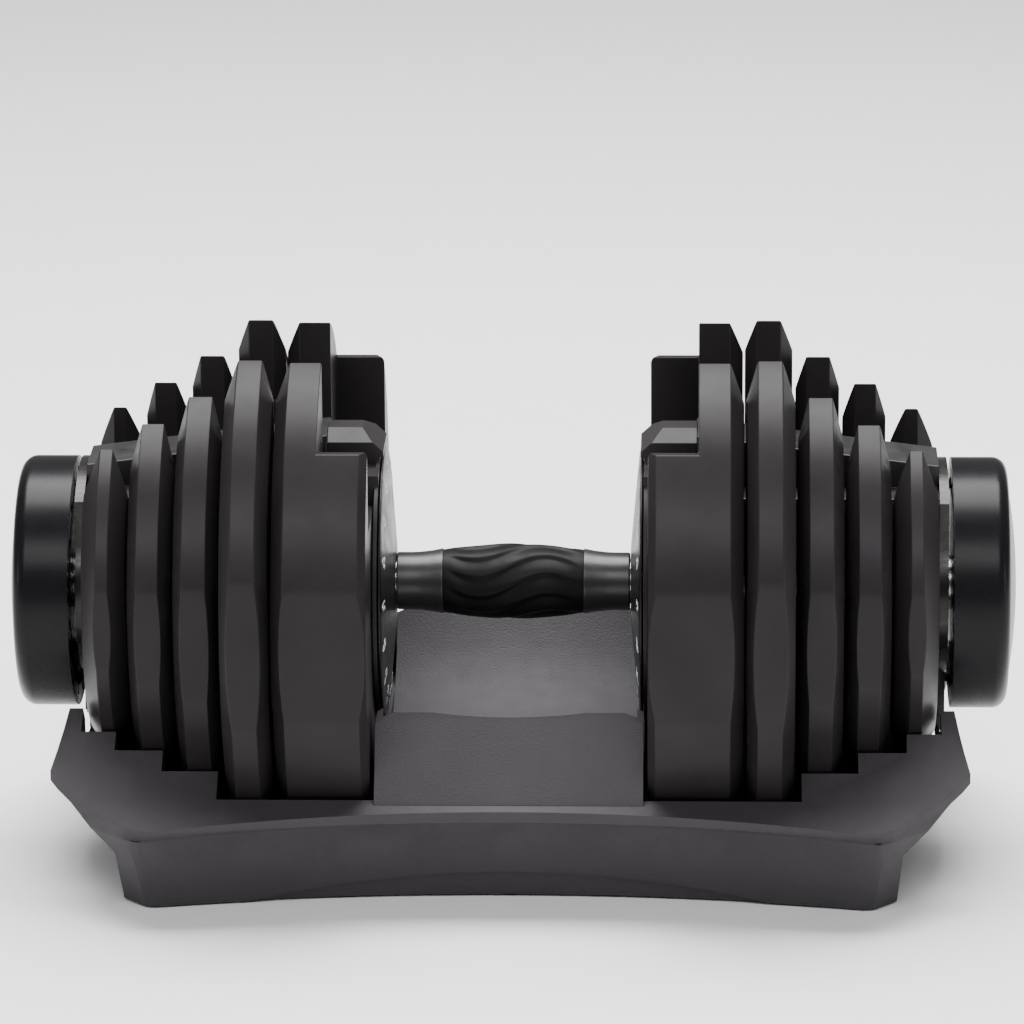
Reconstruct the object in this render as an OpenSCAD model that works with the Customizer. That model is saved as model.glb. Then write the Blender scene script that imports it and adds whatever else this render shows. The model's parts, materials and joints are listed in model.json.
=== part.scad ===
// Adjustable dumbbell with two selector knobs, resting in its moulded base.
// X runs along the handle, Y to the back, Z up; the origin is on the floor under the middle of the handle.

/* [Overall] */
// Height of the handle axis above the floor
axis_h = 120; // [118:0.5:126]
// Half length of the dumbbell over the knob covers
half_length = 222.5; // [220:0.5:230]

/* [Handle] */
// Radius of the steel axle that runs through everything
axle_r = 6; // [5:0.5:6.5]
// Radius of the handle tube under the grip
handle_tube_r = 10; // [9:0.5:10.5]
// Radius of the collars at the grip's ends
collar_r = 12.8; // [12:0.1:13.5]
// Radius of the rubber grip at its middle
grip_r = 16.8; // [15:0.1:18]
// Half length of the rubber grip
grip_half = 31; // [25:1:40]
// Half distance between the number dials
dial_x = 51.8; // [50:0.1:53]

/* [Plates] */
// Outer radius of the plates from the outermost (a) to the innermost (e)
plate_r = [77.9, 88.4, 100, 115.8, 114.7];
// Distance of the flats at the front and back from the axis
plate_flat = [76, 86.1, 97, 111.3, 111.3];
// Inboard face of each plate
plate_in = [166.9, 146.1, 125.1, 102.5, 60.3];
// Outboard face of each plate
plate_out = [186.5, 165.5, 144.7, 123.7, 101.7];
// Inboard edge of each plate's rim
rim_in = [173.9, 151.2, 129.7, 107.6, 63.6];
// Outboard edge of each plate's rim
rim_out = [179.4, 160.7, 140.1, 118.3, 95.8];
// Radial depth of the sloped shoulder beside the rim
shoulder = 12; // [6:1:14]
// Radial depth of the inner plate's narrow inboard chamfer
inboard_chamfer = 4; // [2:0.5:6]
// Depth of the chamfer along the slot's edges
slot_chamfer = 8; // [4:0.5:10]
// Half width of the slot that opens upwards
slot_half = 33.1; // [32.8:0.1:34]
// Depth of the iron core in each plate's moulding
core_depth = [17, 17, 17, 17, 36];
// Wall of the moulding around the core
core_wall = 3.5; // [3:0.5:8]
// Half width of the step cut for the hood in the inner plate
step_half = 76; // [70:1:78]
// Height of the inner plate's low part above the axis
step_top = 82; // [78:1:86]
// Inboard face of the inner plate's tall horns
horn_x = 82; // [81:0.5:84]

/* [Selector] */
// Number of weight settings on a dial
settings = 17; // [17:1:17]
// Radius of the number dial
dial_r = 60; // [58:0.5:60.5]
// Radius of a selector disc
disc_r = 31.5; // [30:0.5:31.5]
// Outer radius of the knob
knob_r = 55.6; // [54:0.1:57]
// Inner face of the knob
knob_x = 193.5; // [193:0.5:195]
// Radius of the edge between the knob's side and its face
knob_round = 6.5; // [5:0.5:10]
// Travel of the lock pin
lock_travel = 4.2; // [4:0.1:4.4]

/* [Base] */
// Height of the deck at its front edge, at the corners
deck_edge_h = 43.5; // [42:0.5:46]
// Height of the ridges in front of and behind the hand space
ridge_h = 81.8; // [78:0.2:84]
// Distance of the ridges from the middle
ridge_y = 73.4; // [70:0.2:76]
// Half length of the base at the corners
base_half_x = 200.6; // [198:0.2:203]
// Half depth of the base at its middle
base_mid_y = 102.7; // [101:0.1:104]
// Wall thickness of the mouldings
wall = 3; // [2.5:0.5:3]
// Gap between the tray's rim and the floor
skirt_gap = 1.2; // [1:0.1:1.4]

/* [Hidden] */
$fn = 96;
plate_names = ["a", "b", "c", "d", "e"];
sides = [["left", -1], ["right", 1]];

step_angle = 360 / settings;
// Weight of each plate in steps of the dial, a to e
units = [1, 2, 2, 4, 7];
heaviest = settings - 1;
run = 0.05;              // running clearance of shafts, on the radius
gap = 0.3;               // clearance between parts of different bodies
tube_in_r = axle_r + run;
drive_r = 12;
drive_hub_r = 14;
dial_back = 57.5;
grip_arc = 240;           // radius of the grip's crowned outline
housing_face = [58, 59.9];
housing_out = 81.3;
end_plate_x = [187.4, 191.5];
end_plate_hub = 40;
end_plate_tail = 9;
axle_end = 208;
nut_x = 200;
cover_r = 46.9;
cover_x = 215.5;
groove_r = [41.8, 46.7];
notch_r = 51;
groove_depth = 4.5;
lock_x = 189;
lock_half = 4;
lock_tip = -61;
lock_top = -38;
lock_groove_top = -22;
tooth_half = 1.5;
tooth_r = [42.6, 46];
tooth_reach = 3.2;
spring_wire = 0.45;
spring_coil = 1.9;
spring_turns = 5;
spring_pitch = 3.6;
slot_chamfer_h = 42;       // length of the horns' chamfers below the rim's top
horn_core_half = slot_half + slot_chamfer + 2.5;
core_inset = 1;           // moulding over the core's open face
core_bulge = 4;           // reach of the core into the moulding's shoulder
big = 400;

// Selector disc, measured from the disc's own middle
web = [-7, -2];
flange_end = 4;
flange_r = [26, 29];
hook_x = [0.5, 6];
hook_r = [21.5, 25];
stem_x = [6, 9];
hook_half = 3.5;

// Base outline
deck_points = [[50, 76.5], [94, 50], [119, deck_edge_h], [150, 35.4]];
lip = 5.5;
lip_step = 1.2;
front_arc = 733;
side_arc = 334;
side_mid_x = 190.5;
corner_d = [198.4, 180.3];
// Plan corners: angle off the front, then reach at the deck and at the floor
corner_turn = [[26, 175.9, 157.6], [7.5, 137.2, 116]];
foot_x = 170;
pocket_gap = 1.5;
pocket_floor = 3.7;
pocket_x = [188.3, 173, 151.7, 127, 58.3];
end_pocket_r = 66;
rib_r = 107;
end_flat = 42;
crest_y = ridge_y + 3;
ridge_end_x = 48;
ridge_end_h = -35;
sag_r = 300;
arch_half = 118;
arch_h = 14.5;
arch_r = (arch_half * arch_half + arch_h * arch_h) / (2 * arch_h);
arch_depth = 2.7;
dial_flat = 60;
trough_r = 96.2;
trough_floor = 48;
trough_half = 55.5;
dial_space = dial_r + 3.5;
dial_space_x = 60;
foot_r = 9;
foot_h = 2;
cover_top = 4.5;
boss_r = 5;
screw_r = 1.6;
screw_head_h = 1.2;
boss_places = [for (x = [-148, 148], y = [-86, 86]) [x, y], for (x = [-40, 40], y = [-66, 66]) [x, y]];
foot_places = [for (x = [-150, 0, 150], y = [-68, 68]) [x, y]];

// Steps that are still to be made up when plates e down to k + 1 have been taken
function remaining(n, k) = k == 4 ? n : remaining(n, k + 1) - (picked(n, k + 1) ? units[k + 1] : 0);
// Whether plate k is carried at setting n
function picked(n, k) = remaining(n, k) >= units[k];
// Middle of the selector disc that serves plate k
function disc_mid(k) = k == 4 ? 91 : (plate_in[k] + plate_out[k]) / 2;

// Children drawn round the Z axis are laid along X and lifted to the handle axis
module on_axis() {
    translate([0, 0, axis_h]) rotate([0, 90, 0]) children();
}

// Children are drawn for the right side and mirrored for the left
module on_side(s) {
    if (s < 0) mirror([1, 0, 0]) children();
    else children();
}

// Cylinder along the handle axis
module bar(r, x0, x1) {
    on_axis() translate([0, 0, x0]) cylinder(r = r, h = x1 - x0);
}

// Box given by its lowest and highest corner, heights from the handle axis
module block(lo, hi) {
    translate([lo[0], lo[1], axis_h + lo[2]]) cube([hi[0] - lo[0], hi[1] - lo[1], hi[2] - lo[2]]);
}

// Outline in X and Z, extruded over |y| < half
module across(half) {
    translate([0, half, axis_h]) rotate([90, 0, 0]) linear_extrude(2 * half) children();
}

// Outline in Y and Z, extruded from x0 to x1
module along(x0, x1) {
    translate([x0, 0, 0]) rotate([90, 0, 90]) linear_extrude(x1 - x0) children();
}

/* ---- plates ---- */

module plate_outer(k) {
    r = plate_r[k];
    intersection() {
        on_axis() rotate_extrude($fn = 180) polygon([
            [0, plate_in[k]], [r - (k == 4 ? inboard_chamfer : shoulder), plate_in[k]], [r, rim_in[k]],
            [r, rim_out[k]], [r - shoulder, plate_out[k]], [0, plate_out[k]]]);
        block([0, -plate_flat[k], -big], [big, plate_flat[k], big]);
    }
}

// Space in the middle of a plate, open upwards
module slot(grow, x0, x1) {
    bar(slot_half + grow, x0, x1);
    block([x0, -slot_half - grow, 0], [x1, slot_half + grow, big]);
}

// Chamfers along the horns, from the rim's edges to the plate's faces
module slot_edges(k) {
    foot = plate_r[k] - slot_chamfer_h;
    for (a = [1, -1]) translate([0, 0, axis_h + foot]) linear_extrude(big) {
        if (k < 4) polygon([
            [rim_in[k], 0], [rim_in[k], a * slot_half],
            [plate_in[k] - 0.1, a * (slot_half + slot_chamfer)], [plate_in[k] - 0.1, 0]]);
        polygon([
            [rim_out[k], 0], [rim_out[k], a * slot_half],
            [plate_out[k] + 0.1, a * (slot_half + slot_chamfer)], [plate_out[k] + 0.1, 0]]);
    }
}

// Step in the inner plate that clears the hood
module hood_step(grow) {
    block([plate_in[4] - 1, -step_half - grow, 45 - grow], [horn_x + grow, step_half + grow, big]);
    block([plate_in[4] - 1, -big, step_top - grow], [horn_x + grow, big, big]);
}

// Hook at the bottom of the slot, over the selector disc's flange
module hook(k) {
    m = disc_mid(k);
    block([m + stem_x[0], -hook_half, -slot_half - 2], [m + stem_x[1], hook_half, -hook_r[0]]);
    block([m + hook_x[0], -hook_half, -hook_r[1]], [m + hook_x[1] + 0.5, hook_half, -hook_r[0]]);
}

module plate_body(k) {
    difference() {
        plate_outer(k);
        slot(0, plate_in[k] - 1, plate_out[k] + 1);
        slot_edges(k);
        if (k == 4) hood_step(0);
    }
}

// Iron core: set in from the face that the next larger plate hides
module core_body(k) {
    outboard = k == 4;
    x0 = outboard ? plate_out[k] - core_depth[k] - core_inset : plate_in[k] + core_inset;
    r = plate_r[k] - shoulder - core_wall;
    difference() {
        intersection() {
            bar(r + core_bulge, x0, x0 + core_depth[k]);
            block([0, -r, -big], [big, r, big]);
        }
        slot(core_wall, x0 - 1, x0 + core_depth[k] + 1);
        block([x0 - 1, -horn_core_half, plate_r[k] - slot_chamfer_h - 3],
            [x0 + core_depth[k] + 1, horn_core_half, big]);
        if (k == 4) hood_step(core_wall);
    }
}

// Room for the core, open to the face it is set in from
module core_room(k) {
    core_body(k);
    translate([(k == 4 ? 1 : -1) * (core_inset + 0.5), 0, 0]) core_body(k);
}

module plate(k, s) {
    color([0.17, 0.16, 0.16]) on_side(s) {
        difference() {
            plate_body(k);
            core_room(k);
        }
        hook(k);
    }
}

module plate_core(k, s) {
    color([0.35, 0.35, 0.36]) on_side(s) core_body(k);
}

/* ---- selector: knob, tube, discs and dial turn together ---- */

module selector_disc(k, s) {
    m = disc_mid(k);
    spread = step_angle / 2 + 0.15;
    color([0.75, 0.75, 0.72]) on_side(s) on_axis() translate([0, 0, m]) difference() {
        union() {
            translate([0, 0, web[0]]) cylinder(r = disc_r, h = web[1] - web[0]);
            translate([0, 0, web[1]]) difference() {
                cylinder(r = flange_r[1], h = flange_end - web[1]);
                cylinder(r = flange_r[0], h = flange_end - web[1] + 1);
                for (n = [0:heaviest])
                    if (!picked(n, k)) rotate((heaviest - n) * step_angle)
                        translate([0, 0, -1]) linear_extrude(flange_end - web[1] + 3) polygon([
                            [0, 0], 40 * [cos(spread), -sin(spread)], 40 * [cos(spread), sin(spread)]]);
            }
            translate([0, 0, web[0]]) cylinder(r = 16, h = 15);
        }
        translate([0, 0, -20]) cylinder(r = drive_r, h = 40);
    }
}

module drive_tube(s) {
    color([0.55, 0.55, 0.56]) on_side(s) difference() {
        union() {
            bar(drive_hub_r, dial_back, housing_out + 0.4);
            bar(drive_r, dial_back, nut_x - 0.5);
        }
        bar(tube_in_r, dial_back - 1, axle_end);
    }
}

module number_dial(s) {
    inner = handle_tube_r + run;
    color([0.06, 0.06, 0.07]) on_side(s) on_axis() rotate_extrude() polygon([
        [inner, dial_x + 0.3], [collar_r + 4, dial_x + 0.3], [dial_r - 2.5, dial_back - 1.6],
        [dial_r, dial_back - 0.8], [dial_r, dial_back], [inner, dial_back]]);
}

module knob(s) {
    face = half_length - 4.3;
    color([0.04, 0.04, 0.045]) on_side(s) difference() {
        on_axis() rotate_extrude($fn = 180) difference() {
            union() {
                polygon([[drive_r, knob_x], [knob_r, knob_x], [knob_r, face - knob_round],
                    [knob_r - knob_round, face], [drive_r, face]]);
                translate([knob_r - knob_round, face - knob_round]) circle(r = knob_round);
            }
            translate([0, knob_x + 7]) square([knob_r - 4, cover_x - 3 - knob_x - 7]);
            translate([0, cover_x - 4]) square([cover_r - 4, 30]);
            translate([0, cover_x]) square([cover_r, 30]);
        }
        on_axis() translate([0, 0, knob_x - 1]) {
            difference() {
                cylinder(r = groove_r[1], h = groove_depth + 1);
                cylinder(r = groove_r[0], h = groove_depth + 1.5);
            }
            for (n = [0:heaviest])
                rotate(n * step_angle) translate([groove_r[1] - 1, -tooth_half - 0.5, 0])
                    cube([notch_r - groove_r[1] + 1, 2 * tooth_half + 1, groove_depth + 1]);
        }
    }
}

// Shallow domed cover let into the knob's face
module knob_cover(s) {
    rise = half_length - cover_x - 2.4;
    dome = (cover_r * cover_r + rise * rise) / (2 * rise);
    color([0.05, 0.05, 0.055]) on_side(s) on_axis() intersection() {
        translate([0, 0, cover_x]) cylinder(r = cover_r, h = 20, $fn = 180);
        translate([0, 0, half_length - dome]) sphere(r = dome, $fn = 720);
    }
}

/* ---- handle: everything that stays still when the knobs turn ---- */

module axle() {
    color([0.7, 0.7, 0.72]) bar(axle_r, -axle_end, axle_end);
}

module axle_nuts() {
    color([0.65, 0.65, 0.67]) for (s = [-1, 1]) on_side(s) difference() {
        union() {
            on_axis() translate([0, 0, nut_x + 1.5]) cylinder(r = 10.9, h = 5.5, $fn = 6);
            bar(11.5, nut_x, nut_x + 1.5);
        }
        bar(axle_r, nut_x - 1, axle_end);
    }
}

module handle_tube() {
    color([0.5, 0.5, 0.52]) difference() {
        bar(handle_tube_r, gap - dial_back, dial_back - gap);
        bar(axle_r, -dial_back, dial_back);
    }
}

module grip() {
    color([0.07, 0.07, 0.07]) difference() {
        on_axis() rotate_extrude() intersection() {
            translate([0, -grip_half]) square([grip_r, 2 * grip_half]);
            translate([grip_r - grip_arc, 0]) circle(r = grip_arc, $fn = 720);
        }
        bar(handle_tube_r, -grip_half - 1, grip_half + 1);
    }
}

module collar(s) {
    grip_end_r = grip_r - grip_arc + sqrt(grip_arc * grip_arc - grip_half * grip_half);
    color([0.2, 0.2, 0.21]) on_side(s) on_axis() rotate_extrude() polygon([
        [handle_tube_r, grip_half], [grip_end_r - 0.2, grip_half], [collar_r + 0.8, grip_half + 5],
        [collar_r + 0.2, grip_half + 10], [collar_r, grip_half + 14], [collar_r, dial_x],
        [handle_tube_r, dial_x]]);
}

module dial_housing(s) {
    hood_top = 72.7;
    tip_x = 56.5;
    color([0.36, 0.34, 0.34]) on_side(s) difference() {
        union() {
            bar(dial_r + 1.5, housing_face[0], housing_face[1]);
            bar(slot_half - 1.5, housing_face[0], housing_out);
            block([housing_face[0], 1.5 - slot_half, 0], [housing_out, slot_half - 1.5, 58]);
            intersection() {
                translate([0, 0, axis_h]) along(tip_x, housing_out) polygon([
                    [-15, 57], [-15, 68.3], [-5.7, hood_top], [5.7, hood_top], [15, 68.3], [15, 57]]);
                across(20) polygon([[tip_x, 61.5], [tip_x, 64], [66, hood_top], [housing_out, hood_top],
                    [housing_out, 40], [housing_face[0], 40], [housing_face[0], 61.5]]);
            }
        }
        bar(drive_hub_r + run, 50, housing_out + 1);
    }
}

// Spine that joins the dial housing to the end plate over the selector discs
module bridge(s) {
    color([0.13, 0.13, 0.135]) on_side(s) difference() {
        union() {
            block([housing_out, 1.5 - slot_half, 20], [end_plate_x[0], slot_half - 1.5, 48]);
            across(15) polygon([
                [housing_out, 40], [housing_out, 71.5], [end_plate_x[0], 58], [end_plate_x[0], 40]]);
        }
        bar(disc_r + 1.5, housing_out - 1, end_plate_x[1]);
    }
}

module end_plate(s) {
    color([0.72, 0.72, 0.7]) on_side(s) difference() {
        union() {
            bar(end_plate_hub, end_plate_x[0], end_plate_x[1]);
            intersection() {
                bar(knob_r, end_plate_x[0], end_plate_x[1]);
                block([0, 1.5 - slot_half, 0], [big, slot_half - 1.5, big]);
            }
            block([end_plate_x[0], -end_plate_tail, lock_tip + 3], [end_plate_x[1], end_plate_tail, 0]);
        }
        bar(drive_r + run, end_plate_x[0] - 1, end_plate_x[1] + 1);
        block([lock_x - run, -lock_half - run, -big],
            [end_plate_x[1] + 1, lock_half + run, lock_groove_top]);
        block([end_plate_x[0] - 1, -lock_half - run, lock_top - lock_travel - gap],
            [end_plate_x[1] + 1, lock_half + run, lock_groove_top]);
    }
}

// Slider with a tooth that enters the knob's notches
module lock_pin(s) {
    color([0.78, 0.78, 0.76]) on_side(s) {
        block([lock_x, -lock_half, lock_tip], [end_plate_x[1] - 0.1, lock_half, lock_top]);
        block([end_plate_x[1] - 0.2, -tooth_half, -tooth_r[1]],
            [knob_x + tooth_reach, tooth_half, -tooth_r[0]]);
    }
}

module lock_spring(s) {
    middle = (lock_x + end_plate_x[1] - 0.1) / 2;
    color([0.8, 0.8, 0.78]) on_side(s) translate([middle, 0, axis_h + lock_top + spring_wire + 0.1])
        for (n = [0:spring_turns - 1]) translate([0, 0, n * spring_pitch])
            rotate_extrude($fn = 32) translate([spring_coil, 0]) circle(r = spring_wire, $fn = 16);
}

/* ---- base ---- */

// Height profile of the deck in Y and Z, lowered by drop
module deck_profile(drop) {
    front = [for (p = deck_points) [-p[0], p[1] - drop]];
    back = [for (i = [len(deck_points) - 1:-1:0]) [deck_points[i][0], deck_points[i][1] - drop]];
    polygon(concat([for (i = [len(front) - 1:-1:0]) front[i]], [for (i = [len(back) - 1:-1:0]) back[i]],
        [[150, -20], [-150, -20]]));
}

// Prism round the ends and corners: outline d over height, turned to face the angle a
module side_limit(a, outline) {
    rotate(a) translate([0, big, 0]) rotate([90, 0, 0]) linear_extrude(2 * big) polygon(concat(
        outline, [[-big, -20], [-big, 200]]));
}

// Concave front, as a cone that is wider at the floor
module front_cut(inset) {
    top = front_arc + inset;
    centre = base_mid_y + front_arc;
    for (a = [0, 180])
        rotate(a) translate([0, -centre, 0]) rotate_extrude($fn = 720) polygon([
            [0, -25], [top + 21.7, -25], [top + 21.7, 0], [top + 12.2, 20], [top + 0.5, 42.8], [top, 47.9],
            [top, 200], [0, 200]]);
}

// Outer form of the base with its sides set in and its deck lowered
module base_form(inset, drop) {
    difference() {
        intersection() {
            along(-210, 210) deck_profile(drop);
            intersection_for (a = [0, 180])
                side_limit(a, [[base_half_x - inset, 200], [base_half_x - inset, 54], [172 - inset, 28],
                    [foot_x - inset, 0], [foot_x - inset, -20]]);
            intersection_for (a = [45, 135, 225, 315])
                side_limit(a, [[corner_d[0] - inset, 200], [corner_d[0] - inset, 38],
                    [corner_d[1] - inset, 0], [corner_d[1] - inset, -20]]);
            intersection_for (c = corner_turn)
                intersection_for (a = [90 - c[0], 90 + c[0], 270 - c[0], 270 + c[0]])
                    side_limit(a, [[c[1] - inset, 200], [c[1] - inset, 38],
                        [c[2] - inset, 0], [c[2] - inset, -20]]);
        }
        front_cut(inset);
        for (s = [-1, 1])
            translate([s * (side_mid_x + side_arc), 0, -30])
                cylinder(r = side_arc + inset, h = 300, $fn = 720);
    }
}

// Ridge in front of and behind the hand space, its crest sagging in the middle
module hump(inset, drop) {
    half = pocket_x[4] - inset;
    difference() {
        intersection() {
            across(140) polygon([
                [-half, -140], [half, -140], [half, ridge_end_h - 6], [ridge_end_x, ridge_end_h],
                [-ridge_end_x, ridge_end_h], [-half, ridge_end_h - 6]]);
            along(-half, half) translate([0, -drop]) polygon([
                [-110, -20], [-98, 49.2], [-crest_y, ridge_h - 1], [-crest_y + 4, ridge_h + 6],
                [crest_y - 4, ridge_h + 6], [crest_y, ridge_h - 1], [98, 49.2], [110, -20]]);
        }
        translate([0, 150, ridge_h - drop + sag_r]) rotate([90, 0, 0])
            cylinder(r = sag_r, h = 300, $fn = 720);
        front_cut(inset + lip_step);
    }
}

// Seats of the plates and the open space over them
module pockets(grow) {
    for (s = [-1, 1]) on_side(s) intersection() {
        union() {
            for (i = [0:3])
                bar(plate_r[i] + pocket_gap + grow, pocket_x[i + 1] - grow, pocket_x[i] + grow);
            bar(end_pocket_r + grow, pocket_x[0] - 1, half_length + 8);
            block([pocket_x[0] - 1 - grow, -end_flat - grow, -end_pocket_r - grow],
                [half_length + 8, end_flat + grow, 0]);
        }
        translate([0, 0, pocket_floor - grow + 0.5 * sign(grow)])
            block([0, -big, -axis_h], [big, big, big]);
    }
}

// Room for the number dials, flat under each of them
module dial_room(grow) {
    bar(dial_space + grow, -dial_space_x - grow, dial_space_x + grow);
    for (s = [-1, 1]) on_side(s)
        block([trough_half - 0.1 - grow, -dial_flat - grow, -dial_space - grow],
            [dial_space_x + grow, dial_flat + grow, 0]);
}

// Rib between the two largest plates
module seat_rib() {
    on_axis() rotate_extrude() polygon([
        [plate_r[3] + 3, 98.5], [rib_r, 101.9], [rib_r, 102.9], [plate_r[3] + 3, 105.5]]);
}

module base_tray() {
    post_top = lock_tip - gap;
    color([0.22, 0.21, 0.23]) difference() {
        union() {
            difference() {
                union() {
                    intersection() {
                        base_form(0, 0);
                        translate([0, 0, skirt_gap]) cylinder(r = big, h = big);
                        difference() {
                            translate([0, 0, -30]) cylinder(r = big, h = big);
                            along(-210, 210) deck_profile(lip);
                        }
                    }
                    intersection() {
                        union() {
                            base_form(lip_step, 0);
                            hump(0, 0);
                        }
                        translate([0, 0, skirt_gap]) cylinder(r = big, h = big);
                    }
                }
                difference() {
                    union() {
                        base_form(wall + lip_step, wall);
                        hump(wall, wall);
                    }
                    pockets(wall - 0.5);
                    dial_room(wall);
                    trough(wall);
                    for (p = boss_places) translate([p[0], p[1], cover_top]) cylinder(r = boss_r, h = 100);
                }
                pockets(0);
                trough(0);
                dial_room(0);
            }
            for (s = [-1, 1]) on_side(s) {
                intersection() {
                    seat_rib();
                    translate([0, 0, skirt_gap + 1]) cylinder(r = big, h = 30);
                }
                block([pocket_x[0], -4, -68], [side_mid_x - 0.2, 4, post_top]);
            }
        }
        for (p = boss_places) translate([p[0], p[1], -1]) cylinder(r = screw_r, h = 18);
        difference() {
            translate([0, 150, arch_h - arch_r]) rotate([90, 0, 0])
                cylinder(r = arch_r, h = 300, $fn = 720);
            base_form(arch_depth, 0);
        }
    }
}

// Hand space under the grip
module trough(grow) {
    translate([-trough_half - grow, 0, trough_floor + trough_r]) rotate([0, 90, 0])
        cylinder(r = trough_r + grow, h = 2 * (trough_half + grow), $fn = 180);
}

module base_cover() {
    color([0.12, 0.12, 0.125]) difference() {
        intersection() {
            base_form(wall + lip_step + gap, 0);
            translate([0, 0, foot_h]) cylinder(r = big, h = cover_top - foot_h);
        }
        for (s = [-1, 1]) on_side(s) translate([53, -45, -1]) cube([79, 90, 20]);
        for (p = boss_places) translate([p[0], p[1], -1]) cylinder(r = screw_r + 0.2, h = 10);
    }
}

module base_feet() {
    color([0.05, 0.05, 0.05]) for (p = foot_places)
        translate([p[0], p[1], 0]) cylinder(r = foot_r, h = foot_h);
}

module base_screws() {
    color([0.7, 0.7, 0.7]) for (p = boss_places) translate([p[0], p[1], foot_h - screw_head_h]) {
        cylinder(r = 3.4, h = screw_head_h);
        cylinder(r = screw_r, h = 14);
    }
}

base_tray();
base_cover();
base_feet();
base_screws();
axle();
axle_nuts();
handle_tube();
grip();
for (s = sides) {
    collar(s[1]);
    dial_housing(s[1]);
    bridge(s[1]);
    end_plate(s[1]);
    lock_spring(s[1]);
    lock_pin(s[1]);
    number_dial(s[1]);
    drive_tube(s[1]);
    knob(s[1]);
    knob_cover(s[1]);
    for (k = [0:4]) {
        selector_disc(k, s[1]);
        plate(k, s[1]);
        plate_core(k, s[1]);
    }
}
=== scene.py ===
"""Looks of the adjustable dumbbell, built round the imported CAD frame. Metres throughout."""
import math

import bmesh
import bpy
import json
from mathutils import Matrix, Vector


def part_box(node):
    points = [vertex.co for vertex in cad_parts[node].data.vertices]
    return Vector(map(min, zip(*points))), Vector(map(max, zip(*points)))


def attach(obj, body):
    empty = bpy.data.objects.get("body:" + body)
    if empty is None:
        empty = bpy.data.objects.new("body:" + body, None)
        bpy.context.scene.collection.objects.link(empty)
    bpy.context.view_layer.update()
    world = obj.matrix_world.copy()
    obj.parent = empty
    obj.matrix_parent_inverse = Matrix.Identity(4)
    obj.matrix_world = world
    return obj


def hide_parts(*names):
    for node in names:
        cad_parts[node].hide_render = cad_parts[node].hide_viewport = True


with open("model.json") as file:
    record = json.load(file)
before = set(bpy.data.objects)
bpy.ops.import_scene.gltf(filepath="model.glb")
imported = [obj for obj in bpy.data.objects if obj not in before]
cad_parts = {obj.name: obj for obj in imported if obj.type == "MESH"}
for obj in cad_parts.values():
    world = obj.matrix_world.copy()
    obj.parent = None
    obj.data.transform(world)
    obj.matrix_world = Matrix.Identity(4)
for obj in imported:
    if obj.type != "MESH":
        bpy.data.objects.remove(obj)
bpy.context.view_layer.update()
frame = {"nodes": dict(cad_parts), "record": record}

SIDES = {"left": -1, "right": 1}
PLATES = "abcde"
MM = 0.001
AXIS_Z = (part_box("axle")[0].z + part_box("axle")[1].z) / 2
SETTINGS = 17
STEP = math.tau / SETTINGS
WEIGHTS = [4, 7, 9, 11, 13, 16, 18, 20, 22, 25, 27, 29, 31, 34, 36, 38, 41]


# ---------------------------------------------------------------- materials

PLASTIC_IOR = 1.46
MOTTLE_SCALE = 35
GLOSS_SCALE = 120
NOISE_RANGE = (0.3, 0.7)


def material(name, color, roughness, *, grain=900.0, bump=0.05, distance=0.2 * MM, mottle=0.12,
             metallic=0.0, specular=0.5, stretch=(1, 1, 1), rough_spread=0.08):
    """Moulded or machined surface: colour mottle, roughness variation and a fine bump."""
    m = bpy.data.materials.new(name)
    m.use_nodes = True
    tree = m.node_tree
    shader = tree.nodes["Principled BSDF"]
    shader.inputs["Metallic"].default_value = metallic
    shader.inputs["IOR"].default_value = PLASTIC_IOR
    shader.inputs["Specular IOR Level"].default_value = specular
    new, link = tree.nodes.new, tree.links.new
    coord = new("ShaderNodeTexCoord")
    scale = new("ShaderNodeMapping")
    scale.inputs["Scale"].default_value = stretch
    link(coord.outputs["Object"], scale.inputs["Vector"])

    def noise(size, detail):
        n = new("ShaderNodeTexNoise")
        n.inputs["Scale"].default_value = size
        n.inputs["Detail"].default_value = detail
        link(scale.outputs["Vector"], n.inputs["Vector"])
        return n.outputs["Fac"]

    def remap(value, low, high):
        r = new("ShaderNodeMapRange")
        r.inputs["From Min"].default_value, r.inputs["From Max"].default_value = NOISE_RANGE
        r.inputs["To Min"].default_value = low
        r.inputs["To Max"].default_value = high
        link(value, r.inputs["Value"])
        return r.outputs["Result"]

    ramp = new("ShaderNodeValToRGB")
    for stop, place, shade in zip(ramp.color_ramp.elements, NOISE_RANGE, (1 - mottle, 1 + mottle)):
        stop.position = place
        stop.color = [c * shade for c in color] + [1]
    link(noise(MOTTLE_SCALE, 4), ramp.inputs["Fac"])
    link(ramp.outputs["Color"], shader.inputs["Base Color"])
    gloss = remap(noise(GLOSS_SCALE, 5), roughness - rough_spread, roughness + rough_spread)
    link(gloss, shader.inputs["Roughness"])
    relief = new("ShaderNodeBump")
    relief.inputs["Strength"].default_value = bump
    relief.inputs["Distance"].default_value = distance
    link(noise(grain, 3), relief.inputs["Height"])
    link(relief.outputs["Normal"], shader.inputs["Normal"])
    return m


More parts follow.
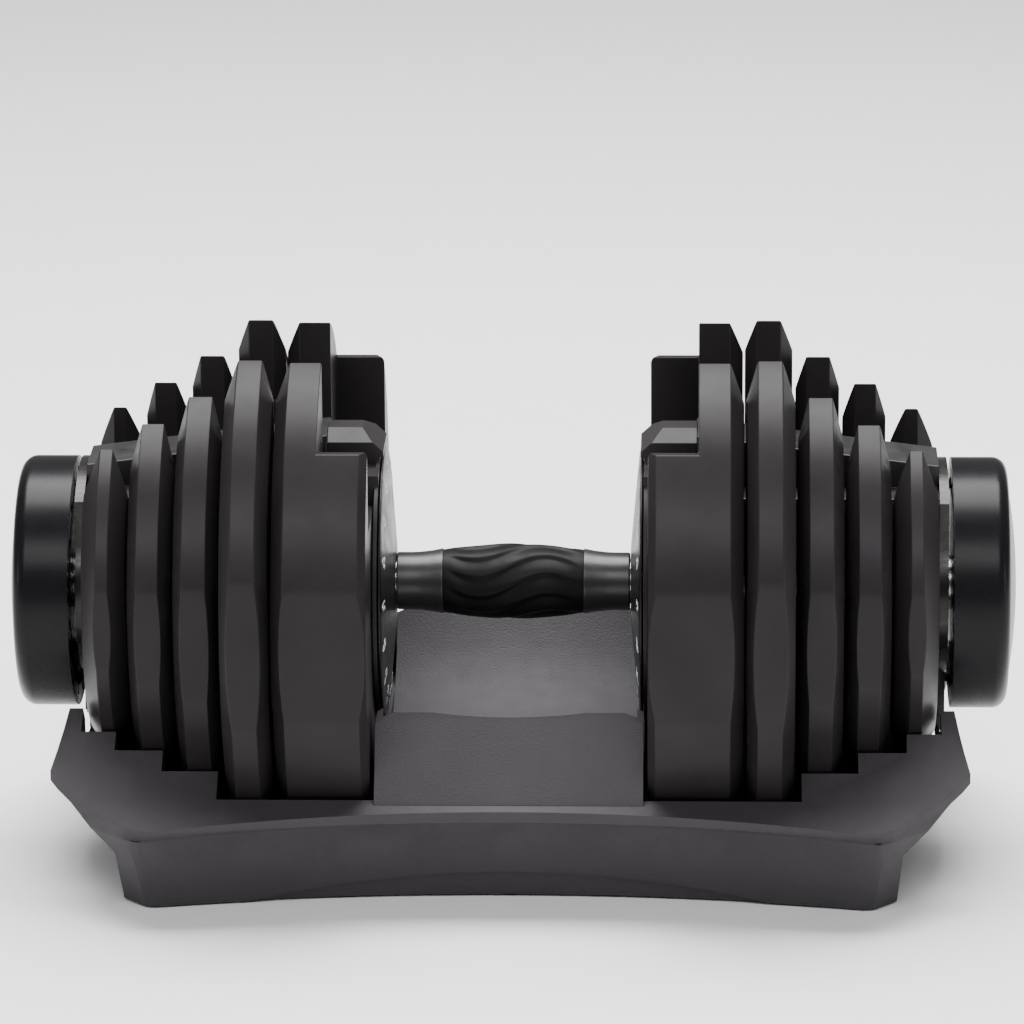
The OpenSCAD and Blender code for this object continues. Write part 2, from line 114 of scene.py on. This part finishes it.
MATERIALS = {
    "base": material("base_plastic", (0.036, 0.0322, 0.037), 0.62, grain=1300, bump=0.7, distance=0.4 * MM,
                     mottle=0.04, rough_spread=0.03, specular=0.3),
    "cover": material("cover_plastic", (0.02, 0.02, 0.021), 0.6, grain=1100, bump=0.35),
    "rubber": material("foot_rubber", (0.012, 0.012, 0.012), 0.8, grain=700, bump=0.3),
    "screw": material("zinc_plate", (0.55, 0.55, 0.54), 0.32, metallic=1, grain=500, stretch=(1, 1, 4)),
    "steel": material("ground_steel", (0.56, 0.56, 0.57), 0.26, metallic=1, grain=600, stretch=(12, 1, 1)),
    "grip": material("grip_rubber", (0.004, 0.0036, 0.004), 0.5, grain=1500, bump=0.25, specular=0.12),
    "collar": material("collar_plastic", (0.017, 0.015, 0.016), 0.34, bump=0.04, rough_spread=0.03),
    "housing": material("housing_plastic", (0.02, 0.0175, 0.0187), 0.4, grain=1000, bump=0.08,
                        specular=0.15, rough_spread=0.03),
    "bridge": material("bridge_plastic", (0.016, 0.015, 0.016), 0.38, grain=900, bump=0.1),
    # The zinc end plate is coloured near black as painted shade, standing in for the shade in the gap
    # between the knob and plate a.
    "zinc": material("zinc_sheet_dark_as_gap_shade", (0.03, 0.028, 0.027), 0.3, metallic=0.8, grain=400, stretch=(1, 8, 1)),
    "spring": material("spring_wire", (0.6, 0.6, 0.6), 0.25, metallic=1, grain=800),
    "dial": material("dial_plastic", (0.008, 0.008, 0.009), 0.38, grain=900, bump=0.1, specular=0.35),
    "knob": material("knob_gloss", (0.0055, 0.005, 0.0062), 0.28, grain=300, bump=0.01, specular=0.14,
                     rough_spread=0.02),
    "disc": material("acetal", (0.6, 0.6, 0.56), 0.35, grain=500, bump=0.05),
    "plate": material("plate_plastic", (0.0185, 0.0162, 0.0178), 0.36, grain=1000, bump=0.05, specular=0.12,
                      rough_spread=0.03),
    "iron": material("phosphated_iron", (0.09, 0.09, 0.092), 0.55, metallic=0.7, grain=500, bump=0.5),
    "figures": material("print_white", (0.85, 0.85, 0.85), 0.5, grain=1500, bump=0.05, mottle=0.05),
}
SLOT_OF = {s["node"]: s["material_slot"] for s in frame["record"]["subparts"]}
BODY_OF = {n: b for b, ns in frame["record"]["behaviour"]["bodies"].items() for n in ns}


def paint(obj, slot):
    obj.data.materials.clear()
    obj.data.materials.append(MATERIALS[slot])


for cad_name, cad_node in frame["nodes"].items():
    paint(cad_node, SLOT_OF[cad_name])


# ---------------------------------------------------------------- mesh helpers

def piece(name, mesh, body, slot):
    """A new object that rides on a body and takes its finish from a slot."""
    obj = bpy.data.objects.new(name, mesh)
    bpy.context.scene.collection.objects.link(obj)
    paint(obj, slot)
    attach(obj, body)
    return obj


SHARP_ANGLE = math.radians(24)
FLAT_ANGLE = math.radians(0.6)
SPLIT_ANGLE = math.radians(50)
SAME_POINT = 0.002 * MM


def bevel(bm, width, segments, wanted=lambda edge: True):
    """Rounds the sharp edges that are wanted."""
    sharp = [e for e in bm.edges if len(e.link_faces) == 2
             and e.calc_face_angle(0) > SHARP_ANGLE and wanted(e)]
    bmesh.ops.bevel(bm, geom=sharp, offset=width, offset_type="OFFSET", segments=segments, profile=0.5,
                    affect="EDGES", clamp_overlap=True, miter_outer="SHARP")


def rounded(node, width, first=None, rest=lambda edge: True):
    """The node's solid with its sharp edges rounded, those of first before the rest, in the node's place."""
    bm = bmesh.new()
    bm.from_mesh(frame["nodes"][node].data)
    bmesh.ops.remove_doubles(bm, verts=bm.verts, dist=SAME_POINT)
    bmesh.ops.dissolve_limit(bm, angle_limit=FLAT_ANGLE, verts=bm.verts, edges=bm.edges)
    if first:
        bevel(bm, *first)
        bm.normal_update()
    bevel(bm, width, 3, rest)
    for f in bm.faces:
        f.smooth = True
    mesh = bpy.data.meshes.new(node + "_round")
    bm.to_mesh(mesh)
    bm.free()
    mesh.set_sharp_from_angle(angle=SPLIT_ANGLE)
    obj = piece(node + "_round", mesh, BODY_OF[node], SLOT_OF[node])
    normals = obj.modifiers.new("normals", "WEIGHTED_NORMAL")
    normals.keep_sharp = True
    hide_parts(node)


EDGE = {"plate": 0.8 * MM, "dial_housing": 0.8 * MM, "bridge": 0.5 * MM, "base_tray": 0.6 * MM,
        "knob": 0.7 * MM, "collar": 0.8 * MM, "number_dial": 0.4 * MM}
for side in SIDES:
    for letter in PLATES:
        rounded(f"plate_{letter}_{side}", EDGE["plate"])
    for part in ("dial_housing", "bridge", "knob", "collar", "number_dial"):
        rounded(f"{part}_{side}", EDGE[part])


DECK_Y, DECK_X = 88 * MM, 189 * MM  # beyond these an edge belongs to the outline
SKIRT_TOP = 30 * MM
FOOT_TOP = 20 * MM
RIM_WIDTH, RIM_SEGMENTS = 4.9 * MM, 5


def deck_rim(edge):
    """The deck's outer edge all round the cradle, and none of its pockets."""
    top, wall = sorted(edge.link_faces, key=lambda f: -f.normal.z)
    place = (edge.verts[0].co + edge.verts[1].co) / 2
    n = wall.normal
    outer = ((abs(place.y) > DECK_Y and n.y * place.y > 0 and abs(n.y) > 0.5)
             or (abs(place.x) > DECK_X and n.x * place.x > 0 and abs(n.x) > 0.5))
    return top.normal.z > 0.5 and abs(n.z) < 0.5 and place.z > SKIRT_TOP and outer


def off_the_seam(edge):
    """Not on the step under the deck's rim, which stays sharp as a seam."""
    return all(f.normal.z > -0.5 for f in edge.link_faces) or edge.verts[0].co.z < FOOT_TOP


rounded("base_tray", EDGE["base_tray"], (RIM_WIDTH, RIM_SEGMENTS, deck_rim), off_the_seam)


# ---------------------------------------------------------------- grip with its wave relief

WAVES = 11
WAVE_DEPTH = 0.8 * MM
CROWN = 2.8 * MM
FADE = 0.3  # share of the half length over which the waves run out
SWAY = 0.34  # radians that the waves swing to either side along the grip
PHASE = 0.2
CLIMB = 0.72  # share of a wave on its long flank
ROWS, COLUMNS = 150, 240
END_ANGLE = math.radians(55)


def smooth_step(t):
    return t * t * (3 - 2 * t)


def grip_sleeve():
    """Crowned sleeve with waves that run along it and sway round it."""
    lo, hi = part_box("grip")
    radius = (hi.z - lo.z) / 2
    half = (hi.x - lo.x) / 2
    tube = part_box("handle_tube")[1].z - AXIS_Z
    bm = bmesh.new()
    angles = [math.tau * j / COLUMNS for j in range(COLUMNS)]

    def vertex(x, r, a):
        return bm.verts.new((x, -r * math.sin(a), AXIS_Z + r * math.cos(a)))

    def outer_radius(u, a):
        turn = (a + SWAY * math.sin(math.pi * u) + PHASE) * WAVES / math.tau
        part = turn - math.floor(turn)
        rise = smooth_step(part / CLIMB if part < CLIMB else (1 - part) / (1 - CLIMB))
        fade = smooth_step(min(1, (1 - abs(u)) / FADE))
        return radius - CROWN * u * u - WAVE_DEPTH * fade * (1 - rise)

    rings = []
    for i in range(ROWS + 1):
        u = 2 * i / ROWS - 1
        rings.append([vertex(u * half, outer_radius(u, a), a) for a in angles])
    for x in (half, -half):
        rings.append([vertex(x, tube, a) for a in angles])
    rings.append(rings[0])
    for p, q in zip(rings, rings[1:]):
        for j in range(COLUMNS):
            k = (j + 1) % COLUMNS
            bm.faces.new((p[j], p[k], q[k], q[j])).smooth = True
    bmesh.ops.recalc_face_normals(bm, faces=bm.faces)
    mesh = bpy.data.meshes.new("grip_sleeve")
    bm.to_mesh(mesh)
    bm.free()
    mesh.set_sharp_from_angle(angle=END_ANGLE)
    obj = piece("grip_sleeve", mesh, "handle", "grip")
    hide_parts("grip")


grip_sleeve()


# ---------------------------------------------------------------- figures on the number dials

PRINT_HALF = 0.06 * MM  # half the thickness of a printed figure
SUNK = 0.03 * MM  # how far the middle of a figure lies under the dial's cone
HUB_R = 16.8 * MM
RIM = 2.5 * MM
LIP = 1.6 * MM
FIGURE_SIZE = 5.6 * MM
FIGURE_R = 49.5 * MM
MARKER_R = 54.8 * MM
MARKER = [(-1.7, -1.4), (1.7, -1.4), (0, 1.6)]


def text_mesh(text, size):
    """A text as a thin flat mesh round its middle."""
    curve = bpy.data.curves.new("figure", "FONT")
    curve.body = text
    curve.size = size
    curve.align_x = curve.align_y = "CENTER"
    curve.extrude = PRINT_HALF
    curve.resolution_u = 3
    holder = bpy.data.objects.new("figure", curve)
    bpy.context.scene.collection.objects.link(holder)
    bpy.context.view_layer.update()
    solid = holder.evaluated_get(bpy.context.evaluated_depsgraph_get())
    mesh = bpy.data.meshes.new_from_object(solid)
    bpy.data.objects.remove(holder)
    return mesh


def marker_mesh():
    """A small triangle that points outwards."""
    tri = bmesh.new()
    low, high = ([tri.verts.new((x * MM, y * MM, z)) for x, y in MARKER] for z in (-PRINT_HALF, PRINT_HALF))
    tri.faces.new(high)
    tri.faces.new(low[::-1])
    for i in range(3):
        j = (i + 1) % 3
        tri.faces.new((low[i], low[j], high[j], high[i]))
    mesh = bpy.data.meshes.new("marker")
    tri.to_mesh(mesh)
    tri.free()
    return mesh


def dial_figures(side):
    """A figure and a marker for each setting, printed on the cone that faces the handle."""
    s = SIDES[side]
    lo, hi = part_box(f"number_dial_{side}")
    near, far = (lo.x, hi.x) if s > 0 else (hi.x, lo.x)
    outer_r = (hi.z - lo.z) / 2 - RIM
    slope = math.atan2(abs(far) - LIP - abs(near), outer_r - HUB_R)
    bm = bmesh.new()

    def put(mesh, angle, r):
        """Places a flat shape on the dial's cone: up points outwards, the front faces the handle."""
        x = s * (abs(near) + (r - HUB_R) * math.tan(slope) - SUNK)
        toward = Vector((-s * math.cos(slope), 0, math.sin(slope)))
        outward = Vector((s * math.sin(slope), 0, math.cos(slope)))
        turn = Matrix.Rotation(angle, 3, "X")
        normal, up = turn @ toward, turn @ outward
        along = up.cross(normal)
        centre = Vector((x, 0, AXIS_Z)) + turn @ Vector((0, 0, r))
        mesh.transform(Matrix.Translation(centre) @ Matrix((along, up, normal)).transposed().to_4x4())
        bm.from_mesh(mesh)
        bpy.data.meshes.remove(mesh)

    for n, weight in enumerate(WEIGHTS):
        angle = (SETTINGS - 1 - n) * STEP
        put(text_mesh(str(weight), FIGURE_SIZE), angle, FIGURE_R)
        put(marker_mesh(), angle, MARKER_R)
    mesh = bpy.data.meshes.new(f"dial_figures_{side}")
    bm.to_mesh(mesh)
    bm.free()
    obj = piece(f"dial_figures_{side}", mesh, f"selector_{side}", "figures")


for side in SIDES:
    dial_figures(side)


# ---------------------------------------------------------------- floor, light, camera

FLOOR_HALF = 12
WORLD_STRENGTH = 0.26


def soft_light(name, place, target, size, power):
    data = bpy.data.lights.new(name, "AREA")
    data.shape = "RECTANGLE"
    data.size, data.size_y = size
    data.energy = power
    obj = bpy.data.objects.new(name, data)
    obj.location = place
    obj.rotation_euler = (Vector(target) - Vector(place)).to_track_quat("-Z", "Y").to_euler()
    bpy.context.scene.collection.objects.link(obj)


def studio():
    """Pale floor, even surroundings, a large light overhead, one in front and a strip at each side."""
    bm = bmesh.new()
    bmesh.ops.create_grid(bm, x_segments=8, y_segments=8, size=FLOOR_HALF)
    mesh = bpy.data.meshes.new("floor")
    bm.to_mesh(mesh)
    bm.free()
    floor = bpy.data.objects.new("floor", mesh)
    bpy.context.scene.collection.objects.link(floor)
    white = material("floor_white", (0.9, 0.9, 0.9), 0.8, grain=20, bump=0, mottle=0.01)
    floor.data.materials.append(white)
    world = bpy.data.worlds.new("studio")
    bpy.context.scene.world = world
    world.use_nodes = True
    sky = world.node_tree.nodes["Background"]
    sky.inputs["Color"].default_value = (1, 1, 1, 1)
    sky.inputs["Strength"].default_value = WORLD_STRENGTH
    soft_light("overhead", (0, 0.55, 1.9), (0, 0, 0), (2.0, 1.2), 125)
    soft_light("key", (0, -1.4, 1.4), (0, 0, 0.18), (1.9, 0.7), 27)
    for x in (-1, 1):
        soft_light("strip", (1.6 * x, -0.5, 0.35), (0.2 * x, 0, 0.12), (0.1, 0.4), 1.6)


AIM = Vector((-0.0006, 0, AXIS_Z + 0.032))
ELEVATION, AZIMUTH, ROLL = map(math.radians, (17, 1.786, -0.383))
DISTANCE = 2.7395
LENS, SENSOR = 217.4, 36
CLIP = (0.05, 60)


def photo_camera():
    """The camera at the photograph's viewing angle."""
    back = Vector((math.sin(AZIMUTH) * math.cos(ELEVATION),
                   -math.cos(AZIMUTH) * math.cos(ELEVATION),
                   math.sin(ELEVATION)))
    data = bpy.data.cameras.new("camera")
    data.lens, data.sensor_width = LENS, SENSOR
    data.clip_start, data.clip_end = CLIP
    camera = bpy.data.objects.new("camera", data)
    camera.location = AIM + back * DISTANCE
    turn = (-back).to_track_quat("-Z", "Y").to_matrix() @ Matrix.Rotation(ROLL, 3, "Z")
    camera.rotation_euler = turn.to_euler()
    bpy.context.scene.collection.objects.link(camera)
    bpy.context.scene.camera = camera


studio()
photo_camera()
